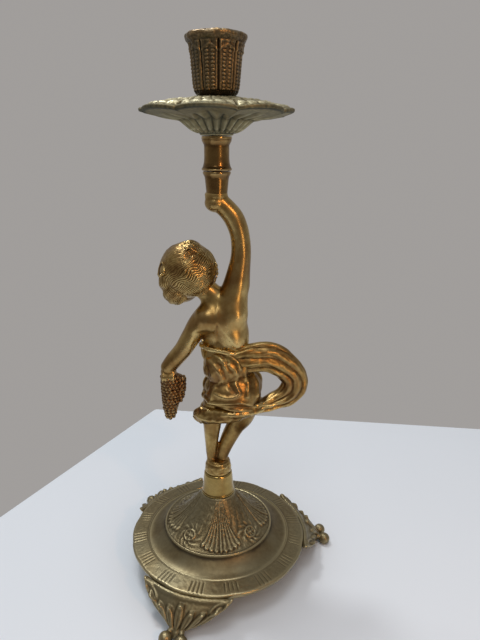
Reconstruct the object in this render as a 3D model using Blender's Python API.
# Cherub candle holder in cast brass, modelled in metres with +Z up.
# A turned and cast stack stands on one upright axis: base, ferrule, figure, stem ferrule, pan, cup.
# The figure shows its back to -Y, the side that the holder is mostly looked at from.
import math

import bmesh
import bpy
from mathutils import Matrix, Vector

MM = 0.001
SEAT_GAP = 0.3 * MM  # space left between two pieces that touch
MERGE = 0.02 * MM

# Base dish
RIM_RADIUS = 51.7 * MM
RIM_TOP = 18.0 * MM
RIM_THICKNESS = 3.0 * MM
RIM_NOTCH_DEPTH = 0.8 * MM
RIM_GROUPS = 16
RIM_PHASE = -81.9
BAND_RADIUS = 41.5 * MM
BAND_RISE = 1.5 * MM
RELIEF_RADIUS = 31.6 * MM
RELIEF_RISE = 7.8 * MM
RELIEF_HEIGHT = 1.0 * MM
RELIEF_LEAVES = 8
RELIEF_PHASE = -87.0
DOME_TOP = 46.3 * MM
BASE_WALL = 3.0 * MM
BASE_STEPS = 48

# Feet
FOOT_ANGLES = (-110.0, 10.0, 130.0)
FOOT_REACH = RIM_RADIUS + 16.0 * MM
FOOT_BALL = 3.5 * MM
FOOT_FLAT = 0.5 * MM
FOOT_BALL_SPREAD = 4.3 * MM
FOOT_INNER_BALL = 5.0 * MM
FOOT_LEAF_HALF_ANGLE = 28.5
FOOT_THICKNESS = 2.6 * MM
FOOT_TONGUE_INNER = RIM_RADIUS - 13.2 * MM
FOOT_TONGUE_HALF = 6.5 * MM
FOOT_SCREW_RADIUS = 1.5 * MM
FOOT_SCREW_HEAD = 2.9 * MM
FOOT_SCREW_HEAD_HEIGHT = 1.6 * MM
FOOT_SCREW_PLACE = FOOT_TONGUE_INNER + 4.0 * MM

# Threaded parts that hold the stack together
ROD_RADIUS = 2.4 * MM
HOLE_CLEARANCE = 0.3 * MM
ROD_IN_MOUND = 5.0 * MM
ROD_TAIL = 3.0 * MM
NUT_HEIGHT = 4.0 * MM
NUT_ACROSS = 9.0 * MM
WASHER_RADIUS = 8.0 * MM
WASHER_THICKNESS = 1.2 * MM
STUD_IN_STUB = 9.0 * MM
STUD_IN_CUP = 4.0 * MM

# Ferrule under the figure
PLINTH_HEIGHT = 13.3 * MM
PLINTH_FOOT_RADIUS = 9.6 * MM
PLINTH_TOP_RADIUS = 8.0 * MM

# Figure
MOUND_RADIUS = 7.3 * MM
MOUND_HEIGHT = 6.0 * MM
FIGURE_HEIGHT = 154.4 * MM  # from the mound's underside to the middle of the raised hand
FIGURE_WIDTH = 83.6 * MM  # from the grapes to the outside of the shawl
STUB_RISE = 14.3 * MM  # from the middle of the hand to the stub's top
STUB_IN_HAND = 2.5 * MM
STUB_TOP_RADIUS = 6.2 * MM
STUB_FOOT_RADIUS = 4.9 * MM
HAIR_LOCKS = 46
HAIR_LOCK_RADIUS = 3.1  # in millimetres, as the other stations of the drawing
FIGURE_VOXEL = 1.1 * MM
FIGURE_KEEP = 0.068

# Ferrule above the hand
FERRULE_HEIGHT = 15.9 * MM
FERRULE_RING_RADIUS = 7.5 * MM
FERRULE_NECK_RADIUS = 6.1 * MM
FERRULE_COLLAR_RADIUS = 7.4 * MM

# Drip pan
PAN_CONE_FOOT_RADIUS = 8.0 * MM
PAN_CONE_TOP_RADIUS = 17.6 * MM
PAN_CONE_RISE = 6.9 * MM
PAN_RADIUS = 37.0 * MM
PAN_LOBES = 8
PAN_NOTCH = 2.4 * MM
PAN_LOBE_LIFT = 1.4 * MM
PAN_LOBE_PHASE = -75.0
PAN_RIM_RISE = 11.6 * MM
PAN_LIP = 2.2 * MM
PAN_FLUTES = 24
PAN_FLUTE_DEPTH = 0.4 * MM
PAN_SEAT_RISE = 16.9 * MM
PAN_STEPS = 48

# Candle cup
CUP_HEIGHT = 26.4 * MM
CUP_LIP_RADIUS = 14.4 * MM
CUP_NECK_RADIUS = 12.4 * MM
CUP_WAIST_RADIUS = 10.8 * MM
CUP_FOOT_RADIUS = 8.6 * MM
CUP_MOUTH_RADIUS = 11.2 * MM
CUP_FLOOR_RADIUS = 8.9 * MM
CUP_FLOOR = 6.4 * MM
CUP_PANELS = 9
CUP_PANEL_PHASE = -83.7
CUP_GROOVE = 0.6 * MM
CUP_STEPS = 36

# Heights of the joints in the stack, from the floor up
PLINTH_BOTTOM = DOME_TOP + SEAT_GAP
PLINTH_TOP = PLINTH_BOTTOM + PLINTH_HEIGHT
FIGURE_BOTTOM = PLINTH_TOP + SEAT_GAP
HAND_HEIGHT = FIGURE_BOTTOM + FIGURE_HEIGHT
STUB_TOP = HAND_HEIGHT + STUB_RISE
STUB_FOOT = HAND_HEIGHT - STUB_IN_HAND
FERRULE_BOTTOM = STUB_TOP + SEAT_GAP
FERRULE_TOP = FERRULE_BOTTOM + FERRULE_HEIGHT
PAN_BOTTOM = FERRULE_TOP + SEAT_GAP
PAN_SEAT = PAN_BOTTOM + PAN_SEAT_RISE
CUP_BOTTOM = PAN_SEAT + SEAT_GAP
CUP_TOP = CUP_BOTTOM + CUP_HEIGHT
BORE_RADIUS = ROD_RADIUS + HOLE_CLEARANCE

BRASS = {
    "polished": ((0.50, 0.34, 0.11), 0.28),
    "figure": ((0.40, 0.27, 0.09), 0.32),
    "dull": ((0.25, 0.20, 0.10), 0.45),
    "steel": ((0.30, 0.28, 0.25), 0.40),
}


def clear_scene():
    for item in list(bpy.data.objects):
        bpy.data.objects.remove(item, do_unlink=True)


def make_material(name, finish):
    colour, roughness = BRASS[finish]
    material = bpy.data.materials.new(name + "_finish")
    material.use_nodes = True
    shader = material.node_tree.nodes["Principled BSDF"]
    shader.inputs["Base Color"].default_value = (*colour, 1.0)
    shader.inputs["Metallic"].default_value = 1.0
    shader.inputs["Roughness"].default_value = roughness
    return material


def add_object(name, bm, finish=None, smooth_angle=35.0):
    mesh = bpy.data.meshes.new(name)
    bm.to_mesh(mesh)
    bm.free()
    item = bpy.data.objects.new(name, mesh)
    bpy.context.scene.collection.objects.link(item)
    if finish:
        mesh.materials.append(make_material(name, finish))
    mesh.shade_smooth()
    mesh.set_sharp_from_angle(angle=math.radians(smooth_angle))
    return item


def make_cutter(name, bm):
    item = add_object(name, bm)
    item.hide_render = True
    item.display_type = "WIRE"
    return item


def add_boolean(item, tool, operation):
    modifier = item.modifiers.new(tool.name, "BOOLEAN")
    modifier.operation = operation
    modifier.object = tool
    modifier.solver = "EXACT"


def turned(profile, steps):
    # A closed solid from (radius, height) points, listed from the inside bottom round to the outside.
    bm = bmesh.new()
    points = [bm.verts.new((radius, 0.0, height)) for radius, height in profile]
    edges = [bm.edges.new((points[i], points[i - 1])) for i in range(len(points))]
    bmesh.ops.spin(
        bm,
        geom=points + edges,
        cent=(0.0, 0.0, 0.0),
        axis=(0.0, 0.0, 1.0),
        angle=2.0 * math.pi,
        steps=steps,
        use_merge=True,
    )
    bmesh.ops.remove_doubles(bm, verts=bm.verts, dist=MERGE)
    bmesh.ops.recalc_face_normals(bm, faces=bm.faces)
    return bm


def polar(vertex):
    return math.hypot(vertex.co.x, vertex.co.y), math.atan2(vertex.co.y, vertex.co.x)


def set_radius(vertex, radius):
    flat = Vector((vertex.co.x, vertex.co.y))
    flat = flat.normalized() * radius
    vertex.co.x = flat.x
    vertex.co.y = flat.y


def cylinder(bm, radius, bottom, top, place=(0.0, 0.0), sides=24):
    height = top - bottom
    middle = Matrix.Translation((place[0], place[1], bottom + 0.5 * height))
    bmesh.ops.create_cone(
        bm,
        cap_ends=True,
        segments=sides,
        radius1=radius,
        radius2=radius,
        depth=height,
        matrix=middle,
    )


def dome_height(radius):
    # The dome sweeps down from the ferrule to the relief's edge like a trumpet bell.
    low = RIM_TOP + RELIEF_RISE
    span = (radius - PLINTH_FOOT_RADIUS) / (RELIEF_RADIUS - PLINTH_FOOT_RADIUS)
    return DOME_TOP - (DOME_TOP - low) * (1.45 * span - 0.45 * span * span)


def base_profile():
    relief = [PLINTH_FOOT_RADIUS + share * (RELIEF_RADIUS - PLINTH_FOOT_RADIUS)
              for share in (0.02, 0.14, 0.32, 0.54, 0.76, 0.96)]
    under = [RELIEF_RADIUS - 0.5 * BASE_WALL, 23.0 * MM, 16.0 * MM, PLINTH_FOOT_RADIUS]
    top = [(radius, dome_height(radius)) for radius in relief]
    foot = RIM_TOP - RIM_THICKNESS
    outer = [
        (RELIEF_RADIUS, RIM_TOP + RELIEF_RISE - 1.5 * MM),
        (0.5 * (RELIEF_RADIUS + BAND_RADIUS), RIM_TOP + BAND_RISE + 1.9 * MM),
        (BAND_RADIUS, RIM_TOP + BAND_RISE - 0.6 * MM),
        (BAND_RADIUS + 0.8 * MM, RIM_TOP + BAND_RISE),
        (RIM_RADIUS - 1.2 * MM, RIM_TOP),
        (RIM_RADIUS, RIM_TOP - 0.8 * MM),
        (RIM_RADIUS - 1.0 * MM, foot),
        (FOOT_TONGUE_INNER - 1.5 * MM, foot),
        (RELIEF_RADIUS + 1.0 * MM, foot + 6.0 * MM),
    ]
    inner = [(radius, dome_height(radius) - 1.35 * BASE_WALL) for radius in under]
    hub = [(BORE_RADIUS, DOME_TOP - BASE_WALL - 2.0 * MM), (BORE_RADIUS, DOME_TOP)]
    inner[-1] = (PLINTH_FOOT_RADIUS + 0.5 * MM, DOME_TOP - BASE_WALL - 2.0 * MM)
    return top + outer + inner + hub


def shape_base_vertex(vertex):
    radius, angle = polar(vertex)
    seam = (RIM_RADIUS - 3.0 * MM)
    above = vertex.co.z > RIM_TOP - RIM_THICKNESS + 1.0 * MM
    if radius > seam and above:
        wave = max(0.0, math.cos(RIM_GROUPS * (angle - math.radians(RIM_PHASE))))
        set_radius(vertex, radius - 0.5 * RIM_NOTCH_DEPTH * wave)
        vertex.co.z -= RIM_NOTCH_DEPTH * wave * (radius > RIM_RADIUS - 2.0 * MM)
    share = (radius - PLINTH_FOOT_RADIUS) / (RELIEF_RADIUS - PLINTH_FOOT_RADIUS)
    on_dome = 0.05 < share < 1.001 and vertex.co.z > dome_height(radius) - 0.6 * BASE_WALL
    if on_dome:
        ridge = math.cos(RELIEF_LEAVES * (angle - math.radians(RELIEF_PHASE)))
        vertex.co.z += RELIEF_HEIGHT * ridge * math.sin(math.pi * min(1.0, share)) ** 0.5


def make_base_dish():
    bm = turned(base_profile(), BASE_STEPS)
    for vertex in bm.verts:
        shape_base_vertex(vertex)
    item = add_object("base_dish", bm, "dull")
    for number, angle in enumerate(FOOT_ANGLES, start=1):
        hole = bmesh.new()
        turn = math.radians(angle)
        place = (FOOT_SCREW_PLACE * math.cos(turn), FOOT_SCREW_PLACE * math.sin(turn))
        bottom = RIM_TOP - RIM_THICKNESS - 2.0 * MM
        top = RIM_TOP - RIM_THICKNESS + screw_depth() + HOLE_CLEARANCE
        cylinder(hole, FOOT_SCREW_RADIUS + HOLE_CLEARANCE, bottom, top, place, 12)
        add_boolean(item, make_cutter("base_screw_hole_%d" % number, hole), "DIFFERENCE")
    return item


def screw_depth():
    return BAND_RISE + RIM_THICKNESS - 2.0 * MM


def foot_top():
    return RIM_TOP - RIM_THICKNESS - SEAT_GAP


def leaf_point(across, along):
    # across runs -1..1 over the leaf, along runs 0 at the toe to 1 at the rim.
    spread = math.radians(FOOT_LEAF_HALF_ANGLE) * (0.18 + 0.82 * along ** 1.1)
    angle = across * spread
    near = RIM_RADIUS - 0.5 * MM
    toe = FOOT_REACH - 2.8 * MM
    radius = near + (toe - near) * (1.0 - along) ** 0.65
    radius -= (1.0 - along) * 5.0 * MM * across * across
    height = 4.6 * MM + (foot_top() - 3.9 * MM) * along ** 1.3
    ridge = 0.8 * MM * math.cos(3.0 * math.pi * across) * along * math.sin(math.pi * along)
    radius += ridge + 1.6 * MM * (1.0 - abs(across)) * math.sin(math.pi * along)
    scroll = max(0.0, abs(across) - 0.7) * 8.0 * MM * along * along
    return Vector((
        (radius + scroll) * math.cos(angle),
        (radius + scroll) * math.sin(angle),
        height + 0.35 * scroll,
    ))


def leaf_mesh():
    bm = bmesh.new()
    columns = 10
    rows = 5
    bmesh.ops.create_grid(bm, x_segments=columns, y_segments=rows, size=1.0)
    for vertex in bm.verts:
        across = vertex.co.x
        along = 0.5 * (vertex.co.y + 1.0)
        vertex.co = leaf_point(across, along)
    # The back of the leaf is its front moved in and down, so the two can never cross.
    back = bmesh.ops.extrude_face_region(bm, geom=bm.faces[:], use_keep_orig=True)["geom"]
    for vertex in back:
        if isinstance(vertex, bmesh.types.BMVert):
            inward = Vector((-vertex.co.x, -vertex.co.y, 0.0)).normalized()
            vertex.co += 0.7 * FOOT_THICKNESS * (inward - Vector((0.0, 0.0, 1.0)))
    bmesh.ops.recalc_face_normals(bm, faces=bm.faces)
    return bm


def tongue_mesh():
    # The flat tongue runs under the rim and takes the screw.
    bm = bmesh.new()
    outer = RIM_RADIUS + 0.5 * MM
    length = outer - FOOT_TONGUE_INNER
    size = Matrix.Diagonal((length, 2.0 * FOOT_TONGUE_HALF, FOOT_THICKNESS, 1.0))
    middle = Matrix.Translation((FOOT_TONGUE_INNER + 0.5 * length, 0.0, foot_top() - 0.5 * FOOT_THICKNESS))
    bmesh.ops.create_cube(bm, size=1.0, matrix=middle @ size)
    return bm


def ball_mesh(along, across):
    bm = bmesh.new()
    place = Matrix.Translation((along, across, FOOT_BALL - FOOT_FLAT))
    bmesh.ops.create_uvsphere(bm, u_segments=8, v_segments=6, radius=FOOT_BALL, matrix=place)
    return bm


def foot_tool(name, bm):
    return make_cutter("foot_" + name, bm)


def foot_mesh():
    # One casting, joined here and then shared by the three feet.
    item = add_object("foot_master", leaf_mesh())
    spread = FOOT_BALL_SPREAD
    add_boolean(item, foot_tool("tongue", tongue_mesh()), "UNION")
    add_boolean(item, foot_tool("ball_a", ball_mesh(FOOT_REACH, spread)), "UNION")
    add_boolean(item, foot_tool("ball_b", ball_mesh(FOOT_REACH, -spread)), "UNION")
    add_boolean(item, foot_tool("ball_c", ball_mesh(FOOT_REACH - FOOT_INNER_BALL, 0.0)), "UNION")
    above = bmesh.new()
    cylinder(above, 2.0 * RIM_RADIUS, foot_top(), RIM_TOP + 5.0 * MM)
    add_boolean(item, foot_tool("rim_space", above), "DIFFERENCE")
    below = bmesh.new()
    cylinder(below, 2.0 * RIM_RADIUS, -10.0 * MM, 0.0)
    add_boolean(item, foot_tool("floor", below), "DIFFERENCE")
    hole = bmesh.new()
    place = (FOOT_SCREW_PLACE, 0.0)
    cylinder(hole, FOOT_SCREW_RADIUS + HOLE_CLEARANCE, 0.0, RIM_TOP, place, 10)
    add_boolean(item, foot_tool("screw_hole", hole), "DIFFERENCE")
    bpy.context.view_layer.update()
    shape = item.evaluated_get(bpy.context.evaluated_depsgraph_get())
    mesh = bpy.data.meshes.new_from_object(shape)
    for old in [thing for thing in bpy.data.objects if thing.name.startswith("foot_")]:
        bpy.data.objects.remove(old, do_unlink=True)
    return mesh


def make_feet():
    mesh = foot_mesh()
    mesh.shade_smooth()
    mesh.set_sharp_from_angle(angle=math.radians(40.0))
    for number, angle in enumerate(FOOT_ANGLES, start=1):
        copy = mesh.copy()
        name = "foot_%d" % number
        copy.materials.clear()
        copy.materials.append(make_material(name, "dull"))
        item = bpy.data.objects.new(name, copy)
        bpy.context.scene.collection.objects.link(item)
        item.rotation_euler.z = math.radians(angle)


def make_foot_screws():
    head_top = foot_top() - FOOT_THICKNESS - SEAT_GAP
    head_bottom = head_top - FOOT_SCREW_HEAD_HEIGHT
    tip = RIM_TOP - RIM_THICKNESS + screw_depth()
    profile = [
        (0.0, head_bottom),
        (FOOT_SCREW_HEAD - 0.5 * MM, head_bottom),
        (FOOT_SCREW_HEAD, head_bottom + 0.5 * MM),
        (FOOT_SCREW_HEAD, head_top),
        (FOOT_SCREW_RADIUS, head_top),
        (FOOT_SCREW_RADIUS, tip - 0.5 * MM),
        (FOOT_SCREW_RADIUS - 0.5 * MM, tip),
        (0.0, tip),
    ]
    for number, angle in enumerate(FOOT_ANGLES, start=1):
        turn = math.radians(angle)
        item = add_object("foot_screw_%d" % number, turned(profile, 8), "steel")
        item.location = (FOOT_SCREW_PLACE * math.cos(turn), FOOT_SCREW_PLACE * math.sin(turn), 0.0)


def hub_underside():
    return DOME_TOP - BASE_WALL - 2.0 * MM


def make_rod_parts():
    washer_top = hub_underside() - SEAT_GAP
    washer_bottom = washer_top - WASHER_THICKNESS
    nut_top = washer_bottom - SEAT_GAP
    nut_bottom = nut_top - NUT_HEIGHT
    washer = turned([
        (BORE_RADIUS, washer_bottom),
        (WASHER_RADIUS, washer_bottom),
        (WASHER_RADIUS, washer_top),
        (BORE_RADIUS, washer_top),
    ], 18)
    add_object("bottom_washer", washer, "steel")
    nut = turned([
        (BORE_RADIUS, nut_bottom),
        (0.5 * NUT_ACROSS, nut_bottom),
        (0.5 * NUT_ACROSS, nut_top),
        (BORE_RADIUS, nut_top),
    ], 18)
    for vertex in nut.verts:
        radius, angle = polar(vertex)
        if radius > BORE_RADIUS + 0.1 * MM:
            off_flat = (angle + math.pi / 6.0) % (math.pi / 3.0) - math.pi / 6.0
            set_radius(vertex, radius / math.cos(off_flat))
    add_object("bottom_nut", nut, "steel", 20.0)
    rod = bmesh.new()
    cylinder(rod, ROD_RADIUS, nut_bottom - ROD_TAIL, FIGURE_BOTTOM + ROD_IN_MOUND, sides=16)
    add_object("tie_rod", rod, "steel")


def make_plinth_ferrule():
    bead = 0.5 * MM
    profile = [
        (BORE_RADIUS, PLINTH_BOTTOM),
        (PLINTH_FOOT_RADIUS - bead, PLINTH_BOTTOM),
        (PLINTH_FOOT_RADIUS, PLINTH_BOTTOM + bead),
        (PLINTH_FOOT_RADIUS - bead, PLINTH_BOTTOM + 2.0 * bead),
        (PLINTH_TOP_RADIUS - 0.5 * bead, PLINTH_TOP - 4.0 * bead),
        (PLINTH_TOP_RADIUS, PLINTH_TOP - 2.0 * bead),
        (PLINTH_TOP_RADIUS, PLINTH_TOP - bead),
        (PLINTH_TOP_RADIUS - bead, PLINTH_TOP),
        (BORE_RADIUS, PLINTH_TOP),
    ]
    return add_object("plinth_ferrule", turned(profile, 24), "polished")


def make_stem_ferrule():
    low = FERRULE_BOTTOM
    high = FERRULE_TOP
    profile = [
        (BORE_RADIUS, low),
        (FERRULE_RING_RADIUS - 1.0 * MM, low),
        (FERRULE_RING_RADIUS, low + 1.2 * MM),
        (FERRULE_RING_RADIUS, low + 1.8 * MM),
        (FERRULE_NECK_RADIUS + 0.5 * MM, low + 3.5 * MM),
        (FERRULE_NECK_RADIUS, low + 5.2 * MM),
        (FERRULE_NECK_RADIUS, high - 3.6 * MM),
        (FERRULE_COLLAR_RADIUS, high - 1.6 * MM),
        (FERRULE_COLLAR_RADIUS, high),
        (BORE_RADIUS, high),
    ]
    return add_object("stem_ferrule", turned(profile, 24), "polished")


def make_top_stud():
    bm = bmesh.new()
    cylinder(bm, ROD_RADIUS, STUB_TOP - STUD_IN_STUB, CUP_BOTTOM + STUD_IN_CUP, sides=16)
    return add_object("top_stud", bm, "steel")


def pan_profile():
    low = PAN_BOTTOM
    cone_top = low + PAN_CONE_RISE
    rim = low + PAN_RIM_RISE
    step = PAN_CONE_TOP_RADIUS - PAN_CONE_FOOT_RADIUS
    return [
        (BORE_RADIUS, low),
        (PAN_CONE_FOOT_RADIUS, low),
        (PAN_CONE_FOOT_RADIUS + 0.45 * step, low + 0.36 * PAN_CONE_RISE),
        (PAN_CONE_FOOT_RADIUS + 0.8 * step, low + 0.78 * PAN_CONE_RISE),
        (PAN_CONE_TOP_RADIUS, cone_top),
        (PAN_RADIUS - 9.0 * MM, cone_top + 1.2 * MM),
        (PAN_RADIUS - 0.8 * MM, rim - PAN_LIP),
        (PAN_RADIUS, rim - 0.5 * PAN_LIP),
        (PAN_RADIUS - 1.0 * MM, rim),
        (PAN_RADIUS - 3.2 * MM, rim + 0.5 * MM),
        (PAN_RADIUS - 7.0 * MM, rim + 1.6 * MM),
        (PAN_CONE_TOP_RADIUS, PAN_SEAT - 1.4 * MM),
        (CUP_FOOT_RADIUS + 1.0 * MM, PAN_SEAT),
        (BORE_RADIUS, PAN_SEAT),
    ]


def shape_pan_vertex(vertex):
    radius, angle = polar(vertex)
    turn = angle - math.radians(PAN_LOBE_PHASE)
    outward = max(0.0, (radius - PAN_CONE_TOP_RADIUS) / (PAN_RADIUS - PAN_CONE_TOP_RADIUS))
    lobe = abs(math.sin(0.5 * PAN_LOBES * turn)) ** 0.5
    if outward > 0.0:
        set_radius(vertex, radius - PAN_NOTCH * outward * outward * (1.0 - lobe))
        vertex.co.z += PAN_LOBE_LIFT * outward * (lobe - 0.5)
    under = vertex.co.z < PAN_BOTTOM + PAN_CONE_RISE - 0.1 * MM
    if under and radius > PAN_CONE_FOOT_RADIUS + 0.1 * MM:
        flute = math.cos(PAN_FLUTES * turn)
        set_radius(vertex, radius + PAN_FLUTE_DEPTH * flute)


def make_drip_pan():
    bm = turned(pan_profile(), PAN_STEPS)
    for vertex in bm.verts:
        shape_pan_vertex(vertex)
    return add_object("drip_pan", bm, "dull")


def cup_profile():
    low = CUP_BOTTOM
    floor = low + CUP_FLOOR
    stud_room = low + STUD_IN_CUP + HOLE_CLEARANCE
    return [
        (BORE_RADIUS, low),
        (CUP_FOOT_RADIUS, low),
        (CUP_FOOT_RADIUS + 1.2 * MM, low + 1.4 * MM),
        (CUP_WAIST_RADIUS, low + 5.0 * MM),
        (CUP_WAIST_RADIUS + 0.5 * MM, low + 11.0 * MM),
        (CUP_NECK_RADIUS, CUP_TOP - 4.8 * MM),
        (CUP_LIP_RADIUS - 0.5 * MM, CUP_TOP - 2.9 * MM),
        (CUP_LIP_RADIUS, CUP_TOP - 1.7 * MM),
        (CUP_LIP_RADIUS - 0.8 * MM, CUP_TOP - 0.3 * MM),
        (CUP_MOUTH_RADIUS + 1.2 * MM, CUP_TOP),
        (CUP_MOUTH_RADIUS, CUP_TOP - 1.4 * MM),
        (0.5 * (CUP_MOUTH_RADIUS + CUP_FLOOR_RADIUS) - 0.2 * MM, CUP_TOP - 12.0 * MM),
        (CUP_FLOOR_RADIUS, floor),
        (0.0, floor),
        (0.0, stud_room),
        (BORE_RADIUS, stud_room),
    ]


def shape_cup_vertex(vertex):
    radius, angle = polar(vertex)
    middle = CUP_BOTTOM + 1.0 * MM < vertex.co.z < CUP_TOP - 3.5 * MM
    if radius > CUP_FOOT_RADIUS + 0.5 * MM and middle:
        turn = CUP_PANELS * (angle - math.radians(CUP_PANEL_PHASE))
        groove = max(0.0, math.cos(turn)) ** 2
        set_radius(vertex, radius - CUP_GROOVE * groove)


def make_candle_cup():
    bm = turned(cup_profile(), CUP_STEPS)
    for vertex in bm.verts:
        shape_cup_vertex(vertex)
    return add_object("candle_cup", bm, "dull")


def ball(bm, centre, radii, detail=2):
    size = Matrix.Diagonal((radii[0] * MM, radii[1] * MM, radii[2] * MM, 1.0))
    place = Matrix.Translation(Vector(centre) * MM)
    bmesh.ops.create_icosphere(bm, subdivisions=detail, radius=1.0, matrix=place @ size)


def limb(bm, stations):
    # Each station is x, y, z and radius in millimetres; balls joined by tapered rods.
    for station in stations:
        ball(bm, station[:3], (station[3],) * 3)
    for first, second in zip(stations, stations[1:]):
        start = Vector(first[:3]) * MM
        end = Vector(second[:3]) * MM
        run = end - start
        turn = run.to_track_quat("Z", "Y").to_matrix().to_4x4()
        bmesh.ops.create_cone(
            bm,
            cap_ends=True,
            segments=16,
            radius1=first[3] * MM,
            radius2=second[3] * MM,
            depth=run.length,
            matrix=Matrix.Translation(0.5 * (start + end)) @ turn,
        )


def add_torso(bm):
    ball(bm, (3.0, 1.0, 163.0), (13.6, 9.5, 14.5))
    ball(bm, (8.5, 0.5, 174.0), (8.6, 8.0, 10.0))
    ball(bm, (4.0, 1.5, 145.0), (13.6, 9.5, 14.0))
    ball(bm, (7.5, 1.0, 154.0), (10.6, 9.2, 13.0))
    ball(bm, (5.0, 6.0, 138.0), (11.5, 8.5, 11.5))
    ball(bm, (9.0, 0.5, 121.0), (17.0, 12.0, 14.5))
    ball(bm, (1.5, -5.0, 118.0), (9.0, 8.5, 10.0))
    ball(bm, (16.0, -5.0, 117.0), (10.0, 8.5, 10.0))
    ball(bm, (-2.5, -5.0, 163.0), (6.5, 5.0, 8.0))
    ball(bm, (9.5, -5.0, 166.0), (6.5, 5.0, 8.0))


def add_hair_locks(bm, centre, radii):
    # Lumps for the main locks, spread evenly over the head and left off the face and the neck.
    face = Vector((-0.50, 0.78, -0.37)).normalized()
    for number in range(HAIR_LOCKS):
        up = 1.0 - 2.0 * (number + 0.5) / HAIR_LOCKS
        flat = math.sqrt(1.0 - up * up)
        turn = number * math.pi * (3.0 - math.sqrt(5.0))
        way = Vector((flat * math.cos(turn), flat * math.sin(turn), up))
        if way.dot(face) < 0.55 and up > -0.7:
            place = [middle + 0.86 * radius * part for middle, radius, part in zip(centre, radii, way)]
            ball(bm, place, (HAIR_LOCK_RADIUS,) * 3)


def add_head(bm):
    limb(bm, [(1.0, 2.0, 172.0, 7.5), (-6.5, 3.0, 180.0, 6.3)])
    ball(bm, (-16.0, 3.0, 190.0), (15.4, 15.0, 14.8))
    add_hair_locks(bm, (-16.0, 3.0, 190.0), (16.0, 15.5, 15.2))
    ball(bm, (-20.0, 9.0, 179.5), (10.0, 10.0, 11.0))
    ball(bm, (-13.5, 1.0, 202.0), (6.5, 7.0, 6.0))
    ball(bm, (-6.2, 1.0, 194.0), (5.6, 7.0, 8.0))
    ball(bm, (-22.0, -1.0, 180.0), (7.0, 7.0, 7.5))
    ball(bm, (-9.5, 0.0, 183.0), (7.0, 7.0, 7.0))
    ball(bm, (-26.0, 19.5, 182.5), (1.9, 2.2, 1.9), 1)


def add_arms(bm):
    limb(bm, [
        (6.0, 1.0, 170.0, 8.5), (9.6, 1.0, 180.0, 7.7), (11.3, 0.5, 190.0, 6.2),
        (12.4, 0.0, 199.0, 5.4), (12.3, 0.0, 206.0, 5.3), (11.2, 0.0, 213.0, 5.3),
        (8.6, 0.0, 219.5, 5.5), (5.2, 0.0, 224.0, 5.4), (1.5, 0.0, 227.5, 5.6),
    ])
    ball(bm, (0.0, 0.0, 228.3), (6.4, 6.4, 6.0))
    limb(bm, [
        (-3.5, 0.5, 166.0, 8.2), (-9.5, 0.0, 160.5, 6.6), (-14.5, -0.5, 153.0, 5.6),
        (-19.0, -0.5, 145.5, 5.1), (-24.0, 0.0, 139.0, 4.8), (-28.0, 0.5, 134.0, 4.7),
    ])
    ball(bm, (-27.8, 1.0, 130.5), (5.3, 5.3, 4.4))


def add_legs(bm):
    limb(bm, [
        (-0.5, 0.0, 112.0, 8.0), (-2.9, 0.0, 103.0, 6.2), (-3.4, 0.0, 95.0, 5.1),
        (-3.7, 0.5, 88.0, 4.2), (-3.9, 0.5, 81.0, 3.5), (-3.7, 0.5, 74.0, 3.1),
    ])
    limb(bm, [(-3.7, 0.5, 73.0, 3.1), (-3.8, 5.0, 72.0, 2.2)])
    limb(bm, [
        (15.0, 0.0, 112.0, 8.5), (14.2, 1.0, 103.0, 7.2), (10.6, 2.0, 95.5, 5.6),
        (7.2, 2.0, 88.5, 5.0), (4.4, 1.5, 81.5, 4.3), (2.2, 1.0, 74.5, 3.5),
    ])
    limb(bm, [(2.2, 0.5, 73.0, 3.2), (2.8, 5.2, 72.0, 2.3)])
    ball(bm, (0.0, 0.0, 70.0), (7.2, 7.2, 3.4))


def add_grapes(bm):
    main = [(-26.3, 1.0, 127.0, 5.0), (-26.7, 1.0, 119.0, 4.9), (-27.0, 1.0, 110.0, 4.2),
            (-27.3, 1.0, 103.5, 2.9), (-27.4, 1.0, 101.0, 2.0)]
    side = [(-21.8, 3.0, 125.0, 3.4), (-22.0, 3.0, 118.5, 3.4), (-23.2, 2.0, 112.5, 2.6)]
    limb(bm, main)
    limb(bm, side)
    for row in range(9):
        height = 126.0 - 2.9 * row
        share = row / 8.0
        centre = (-26.4 - 0.9 * share, 1.0)
        reach = 5.1 - 2.4 * share ** 1.6
        count = 9 - row // 2
        for step in range(count):
            angle = 2.0 * math.pi * (step + 0.5 * (row % 2)) / count
            place = (centre[0] + reach * math.cos(angle), centre[1] + reach * math.sin(angle), height)
            ball(bm, place, (1.5, 1.5, 1.5), 1)


def ring_points(centre, radii, tilt, radius, count=20):
    points = []
    for step in range(count + 1):
        angle = 2.0 * math.pi * step / count
        across = math.cos(angle)
        place = (centre[0] + radii[0] * across, centre[1] + radii[1] * math.sin(angle))
        points.append((place[0], place[1], centre[2] + tilt * across, radius))
    return points


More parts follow.
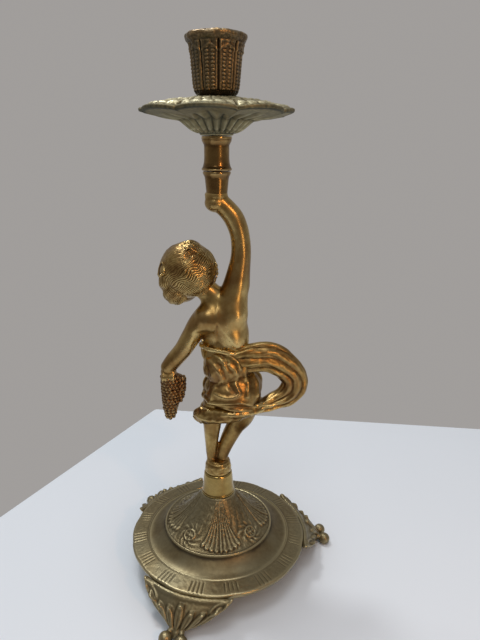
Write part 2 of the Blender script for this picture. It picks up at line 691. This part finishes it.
def add_drapery(bm):
    limb(bm, ring_points((4.0, 1.8, 145.5), (13.4, 9.6), -2.0, 1.5))
    limb(bm, ring_points((8.5, 0.0, 114.0), (15.5, 12.5), -3.0, 2.6))
    ball(bm, (9.0, 2.0, 122.0), (16.9, 14.6, 12.5))
    ball(bm, (5.5, 0.0, 135.0), (14.0, 11.0, 13.0))
    roll = [(-9.6, -3.5, 104.0, 4.9), (-5.0, -7.0, 106.3, 5.0), (3.0, -10.0, 107.8, 4.6),
            (11.0, -10.5, 108.8, 4.0), (18.0, -8.0, 109.0, 3.8), (24.0, -4.0, 109.2, 3.8)]
    limb(bm, roll)
    folds = [
        [(-6.5, -6.3, 146.0, 1.8), (-1.0, -8.4, 140.0, 2.2), (5.0, -10.4, 132.0, 2.2), (9.0, -11.6, 122.0, 1.8)],
        [(0.0, -7.6, 147.0, 1.8), (7.0, -9.4, 140.0, 2.2), (12.0, -10.0, 131.0, 2.2), (14.0, -11.4, 122.0, 1.8)],
        [(8.0, -7.0, 146.0, 1.8), (14.0, -7.6, 139.0, 2.2), (19.0, -7.6, 131.0, 2.0)],
        [(-8.0, -3.6, 139.0, 1.8), (-5.5, -7.6, 131.0, 2.2), (-1.0, -11.0, 122.0, 2.0)],
        [(-3.0, -10.8, 116.0, 2.2), (6.0, -12.2, 113.0, 2.4), (17.0, -11.2, 113.5, 2.2), (25.0, -5.0, 113.0, 1.8)],
    ]
    for fold in folds:
        limb(bm, fold)


def add_drape_loop(bm):
    # The shawl billows out beside the hip: a pleated band round an open loop.
    middle = [
        (13.0, -3.5, 140.0, 8.0), (21.0, -3.5, 142.0, 8.3), (30.5, -2.0, 141.5, 8.4),
        (38.0, -1.0, 136.0, 7.6), (44.0, 0.0, 128.5, 6.9), (45.0, 0.0, 120.5, 6.4),
        (39.0, 0.0, 113.8, 5.2), (30.5, -1.0, 111.0, 4.5), (22.5, -4.0, 110.0, 4.2),
    ]
    for pleat in (-1, 0, 1):
        strand = []
        for index, (x, y, z, half) in enumerate(middle):
            before = Vector(middle[max(0, index - 1)][:3])
            after = Vector(middle[min(len(middle) - 1, index + 1)][:3])
            run = (after - before).normalized()
            side = Vector((-run.z, 0.0, run.x))
            place = Vector((x, y - 1.2 * abs(pleat), z)) + side * (pleat * 0.56 * half)
            strand.append((*place, 0.46 * half))
        limb(bm, strand)
        inner = [(x, y + 2.5, z, radius) for x, y, z, radius in strand]
        limb(bm, inner)


def stub_mesh():
    return turned([
        (BORE_RADIUS, STUB_TOP - STUD_IN_STUB - HOLE_CLEARANCE),
        (0.0, STUB_TOP - STUD_IN_STUB - HOLE_CLEARANCE),
        (0.0, STUB_FOOT),
        (STUB_FOOT_RADIUS, STUB_FOOT),
        (STUB_TOP_RADIUS - 0.5 * MM, STUB_TOP - 1.4 * MM),
        (STUB_TOP_RADIUS, STUB_TOP - 0.6 * MM),
        (STUB_TOP_RADIUS, STUB_TOP),
        (BORE_RADIUS, STUB_TOP),
    ], 24)


def mound_mesh():
    top = FIGURE_BOTTOM + MOUND_HEIGHT
    return turned([
        (BORE_RADIUS, FIGURE_BOTTOM),
        (MOUND_RADIUS, FIGURE_BOTTOM),
        (MOUND_RADIUS, top - 1.2 * MM),
        (MOUND_RADIUS - 1.2 * MM, top),
        (0.0, top),
        (0.0, FIGURE_BOTTOM + ROD_IN_MOUND + HOLE_CLEARANCE),
        (BORE_RADIUS, FIGURE_BOTTOM + ROD_IN_MOUND + HOLE_CLEARANCE),
    ], 24)


def add_remesh(item):
    remesh = item.modifiers.new("cast_skin", "REMESH")
    remesh.mode = "VOXEL"
    remesh.voxel_size = FIGURE_VOXEL
    smooth = item.modifiers.new("soft_edges", "SMOOTH")
    smooth.factor = 0.5
    smooth.iterations = 3
    thin = item.modifiers.new("fewer_faces", "DECIMATE")
    thin.ratio = FIGURE_KEEP


def bring_to_size(bm):
    # The stations are set out on a drawing 85.3 mm wide, from 65.6 under the mound to 228.3 at the hand.
    drawn_foot = 65.6 * MM
    wide = FIGURE_WIDTH / (85.3 * MM)
    high = FIGURE_HEIGHT / (228.3 * MM - drawn_foot)
    size = Matrix.Diagonal((wide, wide, high, 1.0))
    down = Matrix.Translation((0.0, 0.0, -drawn_foot))
    up = Matrix.Translation((0.0, 0.0, FIGURE_BOTTOM))
    bmesh.ops.transform(bm, matrix=up @ size @ down, verts=bm.verts)


def make_cherub_figure():
    bm = bmesh.new()
    add_torso(bm)
    add_head(bm)
    add_arms(bm)
    add_legs(bm)
    add_grapes(bm)
    add_drapery(bm)
    add_drape_loop(bm)
    bring_to_size(bm)
    item = add_object("cherub_figure", bm, "figure", 60.0)
    add_remesh(item)
    below = bmesh.new()
    cylinder(below, 2.0 * MOUND_RADIUS, FIGURE_BOTTOM - 20.0 * MM, FIGURE_BOTTOM + 0.5 * MM)
    add_boolean(item, make_cutter("below_mound", below), "DIFFERENCE")
    hole = bmesh.new()
    cylinder(hole, BORE_RADIUS + 0.6 * MM, FIGURE_BOTTOM - MM, FIGURE_BOTTOM + ROD_IN_MOUND + HOLE_CLEARANCE)
    add_boolean(item, make_cutter("rod_room", hole), "DIFFERENCE")
    stub_hole = bmesh.new()
    cylinder(stub_hole, BORE_RADIUS + 0.6 * MM, STUB_TOP - STUD_IN_STUB - HOLE_CLEARANCE, STUB_TOP + 5.0 * MM)
    add_boolean(item, make_cutter("stud_room", stub_hole), "DIFFERENCE")
    add_boolean(item, make_cutter("mound_body", mound_mesh()), "UNION")
    add_boolean(item, make_cutter("stub_body", stub_mesh()), "UNION")
    return item


def stand_on_origin():
    # The origin is under the middle of the whole holder's outline, at the floor.
    bpy.context.view_layer.update()
    graph = bpy.context.evaluated_depsgraph_get()
    solids = [item for item in bpy.data.objects if item.type == "MESH" and not item.hide_render]
    places = []
    for item in solids:
        shape = item.evaluated_get(graph)
        places += [item.matrix_world @ vertex.co for vertex in shape.data.vertices]
    middle_x = 0.5 * (min(p.x for p in places) + max(p.x for p in places))
    middle_y = 0.5 * (min(p.y for p in places) + max(p.y for p in places))
    for item in bpy.data.objects:
        item.location.x -= middle_x
        item.location.y -= middle_y
    print("axis of the stack at", round(-middle_x, 6), round(-middle_y, 6), "m")


def main():
    clear_scene()
    make_base_dish()
    make_feet()
    make_foot_screws()
    make_rod_parts()
    make_plinth_ferrule()
    make_cherub_figure()
    make_stem_ferrule()
    make_top_stud()
    make_drip_pan()
    make_candle_cup()
    stand_on_origin()


main()
